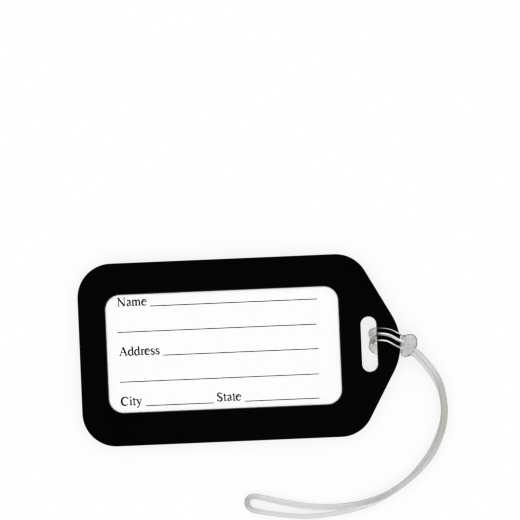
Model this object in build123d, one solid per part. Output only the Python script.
from build123d import *
import os

# Luggage tag: a flat welded card holder with a window and a strap slot, and a
# moulded clear vinyl loop strap hitched round the bar between slot and tip.
# Millimetres. Origin: centre of the holder's outline, on its back face.
# +X runs to the strap end, +Z is the front (window) side.

# ------------------------------------------------------------------ holder
HOLDER_L = 108.0            # left edge to the tip of the strap end
HOLDER_W = 61.6
CORNER_R = 11.5             # the four body corners
SHOULDER_X = 39.65          # where the slanted shoulders start (sharp corner)
APEX_X = 56.74              # where the two shoulders would meet
TIP_R = 19.5                # radius of the blunt tip
X_LEFT = -HOLDER_L / 2

BACK_T = 0.70               # back cover
SPACER_T = 0.50             # pocket spacer
FILM_T = 0.20               # clear window sheet
FRONT_T = 0.70              # front cover
EDGE_R = 0.30               # rounded outer edges of the two covers

# Underside of each sheet above the back cover, and the holder's front face
Z_SPACER = BACK_T
Z_FILM = Z_SPACER + SPACER_T
Z_FRONT = Z_FILM + FILM_T
HOLDER_T = Z_FRONT + FRONT_T

SLOT_X = 43.47              # strap slot centre
SLOT_W = 5.3                # along X
SLOT_L = 18.6               # along Y
SLOT_EDGE_R = 0.25

WIN_X, WIN_Y = -5.60, 0.25  # window centre
WIN_L, WIN_W, WIN_R = 78.4, 39.7, 4.9
WIN_EDGE = 0.20             # bevel round the window opening

CARD_L, CARD_W, CARD_T = 88.9, 50.8, 0.30
CARD_R = 1.0
CARD_GAP = 0.30             # clearance round the card in the pocket
CARD_Z = 0.80               # underside of the card

POCKET_R = 1.0              # inner corners of the pocket
POCKET_OVERRUN = 1.0        # the pocket cut runs past the holder's left edge
NOTCH_R = 9.0               # thumb notch in the back cover at the pocket mouth

WELD_W, WELD_D = 0.9, 0.12  # weld line pressed into the back cover
WELD_X = 39.89              # its far leg, between pocket and slot
WELD_Y = 28.1               # its two long legs, from their middle line
WELD_MID_Y = WIN_Y / 2
WELD_R = 3.0                # corner radius on the centre line

# ------------------------------------------------------------------- strap
STRAND_W, STRAND_T = 2.2, 1.5   # one strand of the strap
STRAND_R = 0.45
PAIR_PITCH_FLAT = 2.5       # side by side, lying flat on the bar
PAIR_PITCH_EDGE = 1.6       # side by side, standing on edge
BAR_GAP = 0.15              # strap to holder

STRAP_TOP_Z = HOLDER_T + BAR_GAP                # underside of the front strands
STRAP_LOW_Z = -BAR_GAP - STRAND_T               # the plane the strap lies on
EDGE_Z = STRAP_LOW_Z + STRAND_W / 2             # centre of a strand on edge

# Hitch wrap: the run through the slot lies against the bar.
SLOT_RUN_X1 = SLOT_X + SLOT_W / 2 - BAR_GAP
SLOT_RUN_X0 = SLOT_RUN_X1 - STRAND_T
SLOT_RUN_END_H = 1.05       # upright sides at each end of the slanting run
WRAP_BEND_R = 0.9           # outside of the bends in the slot
# Centre lines of the pair (x, y), in front of the bar and behind it
FRONT_LINE = [(SLOT_RUN_X0, 3.15), (46.2, 3.05), (49.9, 2.72), (53.5, 0.60)]
BACK_LINE = [(SLOT_RUN_X0, -0.80), (46.2, -0.80), (53.5, -1.20)]

SWING_X, SWING_Z = 55.2, 1.05       # axis the head swings about, along Y
NECK_R, NECK_L = 1.0, 5.0
HEAD_X0, HEAD_X1 = 55.0, 59.4
HEAD_Y0, HEAD_Y1 = -4.75, 2.35
HEAD_H = 4.2
HEAD_R = 2.0                # rounded ends of the head, seen along Y
HEAD_CORNER_R = 1.7         # plan corners of the head
HEAD_OVERRUN = 0.5          # plan block past the head, above and below

EYE_MID = Vector(56.90, -2.30, 0.80)
EYE_DIR = Vector(0.745, -0.475, 0.47).normalized()
EYE_W, EYE_H, EYE_R = 3.45, 2.60, 0.7
EYE_REACH = 6.0             # half length of the eye cut

FLEX_X, FLEX_Y = 67.30, -19.40      # axis the loop flexes about, along Z
KNUCKLE_R = 1.9
KNUCKLE_GAP = 0.15
TRIM_OVERRUN = 1.0          # knuckle clearance cut, above and below the strand

ROOT_STATIONS = 15
SIDE_STATIONS = 26
LOOP_STATIONS = 110

# Centre line of the pair (x, y, z), through the eye and down to the flex axis
ROOT_LINE = [
    EYE_MID - EYE_DIR * 1.5, EYE_MID, EYE_MID + EYE_DIR * 1.6,
    (60.05, -4.75, 2.05), (61.98, -7.26, 1.35), (63.60, -9.42, 0.55),
    (65.08, -11.75, -0.10), (66.20, -14.20, -0.45), (66.92, -16.66, EDGE_Z),
    (FLEX_X, FLEX_Y, EDGE_Z),
]
# Centre line of the pair (x, y), from the flex axis to where the sides part
PAIR_LINE = [
    (FLEX_X, FLEX_Y),
    (67.47, -21.91), (67.20, -25.60), (66.35, -29.30), (65.10, -32.60),
    (63.26, -36.27), (60.47, -40.15), (56.98, -44.01), (52.93, -47.31),
    (48.30, -50.14), (43.39, -52.39), (38.04, -54.01), (34.00, -54.95),
]
# Strand centre line (x, y) past the parting, towards the far bend.
# The inner side is the one nearer the holder; its last point is on the bend.
FAR_INNER = [
    (29.40, -54.55), (24.27, -54.10), (18.95, -53.37), (13.51, -52.23),
    (8.32, -50.87), (4.20, -49.75), (1.60, -49.75), (0.24, -51.80),
]
FAR_OUTER = [
    (29.00, -57.05), (23.80, -57.30), (18.82, -57.05), (12.50, -56.30),
    (7.88, -55.50), (4.20, -54.75), (1.60, -53.95),
]


# ---------------------------------------------------------- edge selection
def lies_at(edge, axis, value, tol=1e-4):
    """True if the whole edge lies at one value of "X" or "Z"."""
    box = edge.bounding_box()
    return all(abs(getattr(end, axis) - value) < tol for end in (box.min, box.max))


def edges_at(solid, z):
    return [e for e in solid.edges() if lies_at(e, "Z", z)]


def is_near(edge, x, y, size_x, size_y, margin=0.2):
    """True if the edge's centre is within a rectangle centred on x, y."""
    centre = edge.center()
    return (abs(centre.X - x) < size_x / 2 + margin
            and abs(centre.Y - y) < size_y / 2 + margin)


def is_slot_edge(edge):
    return is_near(edge, SLOT_X, 0, SLOT_W, SLOT_L)


# ----------------------------------------------------------- holder pieces
def outline():
    """Plan outline of the holder."""
    half_w = HOLDER_W / 2
    with BuildSketch() as plan:
        with BuildLine():
            Polyline((X_LEFT, -half_w), (SHOULDER_X, -half_w), (APEX_X, 0),
                     (SHOULDER_X, half_w), (X_LEFT, half_w), close=True)
        make_face()
        corners = [v for v in plan.vertices() if abs(v.X - APEX_X) > 1e-6]
        fillet(corners, CORNER_R)
        tip = plan.vertices().sort_by(Axis.X)[-1]
        fillet([tip], TIP_R)
    return plan.sketch


def sheet(z, thickness):
    """A full sheet of the holder with the strap slot punched through."""
    slot = Pos(SLOT_X, 0) * SlotOverall(SLOT_L, SLOT_W, rotation=90)
    return Pos(0, 0, z) * (extrude(outline(), thickness) - extrude(slot, thickness))


def cover(z, thickness, face_z):
    """A sheet with its outer and slot edges rounded on the face at face_z."""
    body = sheet(z, thickness)
    body = fillet([e for e in edges_at(body, face_z) if not is_slot_edge(e)], EDGE_R)
    return fillet([e for e in edges_at(body, face_z) if is_slot_edge(e)], SLOT_EDGE_R)


def back_cover():
    """Back cover with a weld line round the pocket and a thumb notch."""
    # The weld rectangle is centred on the left edge, so its legs run off there.
    length, width = 2 * (WELD_X - X_LEFT), 2 * WELD_Y
    with BuildSketch() as weld:
        with Locations((X_LEFT, WELD_MID_Y)):
            RectangleRounded(length + WELD_W, width + WELD_W, WELD_R + WELD_W / 2)
            RectangleRounded(length - WELD_W, width - WELD_W, WELD_R - WELD_W / 2,
                             mode=Mode.SUBTRACT)
    notch = extrude(Pos(X_LEFT, WIN_Y) * Circle(NOTCH_R), BACK_T)
    return cover(0, BACK_T, 0) - extrude(weld.sketch, WELD_D) - notch


def pocket_spacer():
    """U-shaped spacer, open at the left short end."""
    x_open = X_LEFT - POCKET_OVERRUN
    x_end = WIN_X + CARD_L / 2 + CARD_GAP
    y_low = WIN_Y - CARD_W / 2 - CARD_GAP
    y_high = WIN_Y + CARD_W / 2 + CARD_GAP
    with BuildSketch() as pocket:
        with BuildLine():
            Polyline((x_open, y_low), (x_end, y_low), (x_end, y_high), (x_open, y_high),
                     close=True)
        make_face()
        fillet([v for v in pocket.vertices() if abs(v.X - x_end) < 1e-6], POCKET_R)
    return sheet(Z_SPACER, SPACER_T) - Pos(0, 0, Z_SPACER) * extrude(pocket.sketch, SPACER_T)


def id_card():
    """Address card in the pocket."""
    return Pos(WIN_X, WIN_Y, CARD_Z) * extrude(RectangleRounded(CARD_L, CARD_W, CARD_R), CARD_T)


def window_sheet():
    """Clear sheet between spacer and front cover."""
    return sheet(Z_FILM, FILM_T)


def front_cover():
    """Front cover with a bevelled window opening."""
    window = extrude(RectangleRounded(WIN_L, WIN_W, WIN_R), FRONT_T)
    body = cover(Z_FRONT, FRONT_T, HOLDER_T) - Pos(WIN_X, WIN_Y, Z_FRONT) * window
    rim = [e for e in edges_at(body, HOLDER_T) if is_near(e, WIN_X, WIN_Y, WIN_L, WIN_W)]
    return chamfer(rim, WIN_EDGE)


# -------------------------------------------------------------- hitch wrap
def flat_run(line, offset, z):
    """A flat strand along a plan line, shifted along Y by offset."""
    half_w = STRAND_W / 2
    low = [(x, y + offset - half_w) for x, y in line]
    high = [(x, y + offset + half_w) for x, y in reversed(line)]
    with BuildSketch() as plan:
        with BuildLine():
            Polyline(*low, *high, close=True)
        make_face()
    return Pos(0, 0, z) * extrude(plan.sketch, STRAND_T)


def slot_run(offset):
    """The strand slanting through the slot, from the front run to the back run."""
    half_w = STRAND_W / 2
    y_front = FRONT_LINE[0][1] + offset
    y_back = BACK_LINE[0][1] + offset
    z_top, z_low = STRAP_TOP_Z + STRAND_T, STRAP_LOW_Z
    corners = [
        (y_front - half_w, z_top), (y_front + half_w, z_top),
        (y_front + half_w, z_top - SLOT_RUN_END_H), (y_back + half_w, z_low),
        (y_back - half_w, z_low), (y_back - half_w, z_low + SLOT_RUN_END_H),
    ]
    with BuildSketch(Plane.YZ.offset(SLOT_RUN_X0)) as side:
        with BuildLine():
            Polyline(*corners, close=True)
        make_face()
    return extrude(side.sketch, SLOT_RUN_X1 - SLOT_RUN_X0)


def hitch_wrap():
    """Two flat strands over the bar, down through the slot and back behind it."""
    strands = []
    for offset in (PAIR_PITCH_FLAT / 2, -PAIR_PITCH_FLAT / 2):
        body = (flat_run(FRONT_LINE, offset, STRAP_TOP_Z)
                + flat_run(BACK_LINE, offset, STRAP_LOW_Z) + slot_run(offset))
        bends = [e for e in body.edges() if lies_at(e, "X", SLOT_RUN_X0)
                 and (lies_at(e, "Z", STRAP_TOP_Z + STRAND_T) or lies_at(e, "Z", STRAP_LOW_Z))]
        strands.extend(fillet(bends, WRAP_BEND_R).solids())
    return Compound(children=strands)


# -------------------------------------------------------------- strap head
def strap_head():
    """Rounded pad with a neck roll on the swing axis and a slanting eye.

    The eye enters low on the holder's side and leaves high on the far side.
    """
    mid_x, mid_y = (HEAD_X0 + HEAD_X1) / 2, (HEAD_Y0 + HEAD_Y1) / 2
    length, width = HEAD_X1 - HEAD_X0, HEAD_Y1 - HEAD_Y0
    with BuildSketch(Plane.XZ.offset(-HEAD_Y1)) as profile:
        with Locations((mid_x, SWING_Z)):
            RectangleRounded(length, HEAD_H, HEAD_R)
    side = extrude(profile.sketch, width)
    plan = Pos(mid_x, mid_y, SWING_Z - HEAD_H / 2 - HEAD_OVERRUN) * extrude(
        RectangleRounded(length, width, HEAD_CORNER_R), HEAD_H + 2 * HEAD_OVERRUN)
    neck = Pos(SWING_X, mid_y, SWING_Z) * Rot(90, 0, 0) * Cylinder(NECK_R, NECK_L)
    eye_plane = Plane(origin=EYE_MID - EYE_DIR * EYE_REACH, x_dir=sideways(EYE_DIR),
                      z_dir=EYE_DIR)
    with BuildSketch(eye_plane) as eye:
        RectangleRounded(EYE_W, EYE_H, EYE_R)
    return (side & plan) + neck - extrude(eye.sketch, 2 * EYE_REACH)


# --------------------------------------------------------------- long loop
def sideways(heading):
    """Level unit vector to the left of a heading, seen from +Z."""
    return Vector(0, 0, 1).cross(heading).normalized()


def on_edge(line):
    """Plan points raised to the centre height of a strand on edge."""
    return [Vector(x, y, EDGE_Z) for x, y in line]


def spline_stations(points, count):
    """Points and unit tangents along a smooth curve through points."""
    curve = Edge.make_spline([Vector(*p) for p in points])
    steps = [i / (count - 1) for i in range(count)]
    return [curve.position_at(u) for u in steps], [curve.tangent_at(u) for u in steps]


def strand(points, tangents, offset=0.0):
    """A strand on edge, lofted through stations moved sideways by offset."""
    sections = []
    for point, tangent in zip(points, tangents):
        across = sideways(tangent)
        plane = Plane(origin=point + across * offset, x_dir=across, z_dir=tangent)
        sections.append(plane * RectangleRounded(STRAND_T, STRAND_W, STRAND_R))
    return loft(Sketch() + sections)


def loop_root():
    """Pair of strands from the eye down to a knuckle on the flex axis."""
    points, tangents = spline_stations(ROOT_LINE, ROOT_STATIONS)
    # The last section stands upright in the knuckle.
    tangents[-1] = Vector(tangents[-1].X, tangents[-1].Y, 0).normalized()
    half_pitch = PAIR_PITCH_EDGE / 2
    knuckle = Pos(FLEX_X, FLEX_Y, EDGE_Z) * Cylinder(KNUCKLE_R, STRAND_W)
    return strand(points, tangents, half_pitch) + strand(points, tangents, -half_pitch) + knuckle


def loop_end():
    """One strand: out along the inner side, round the far bend, back along the outer."""
    points, tangents = spline_stations(on_edge(PAIR_LINE), SIDE_STATIONS)
    inner, outer = [
        [p + sideways(t) * offset for p, t in zip(points, tangents)]
        for offset in (-PAIR_PITCH_EDGE / 2, PAIR_PITCH_EDGE / 2)
    ]
    path = inner + on_edge(FAR_INNER) + on_edge(reversed(FAR_OUTER)) + outer[::-1]
    body = strand(*spline_stations(path, LOOP_STATIONS))
    clearance = Pos(FLEX_X, FLEX_Y, EDGE_Z) * Cylinder(
        KNUCKLE_R + KNUCKLE_GAP, STRAND_W + 2 * TRIM_OVERRUN)
    # Any scrap left inside the knuckle is dropped.
    return (body - clearance).solids().sort_by(lambda solid: solid.volume)[-1]


PIECES = (back_cover, pocket_spacer, id_card, window_sheet, front_cover,
          hitch_wrap, strap_head, loop_root, loop_end)

os.makedirs("parts", exist_ok=True)
for piece in PIECES:
    export_step(piece(), f"parts/{piece.__name__}.step")
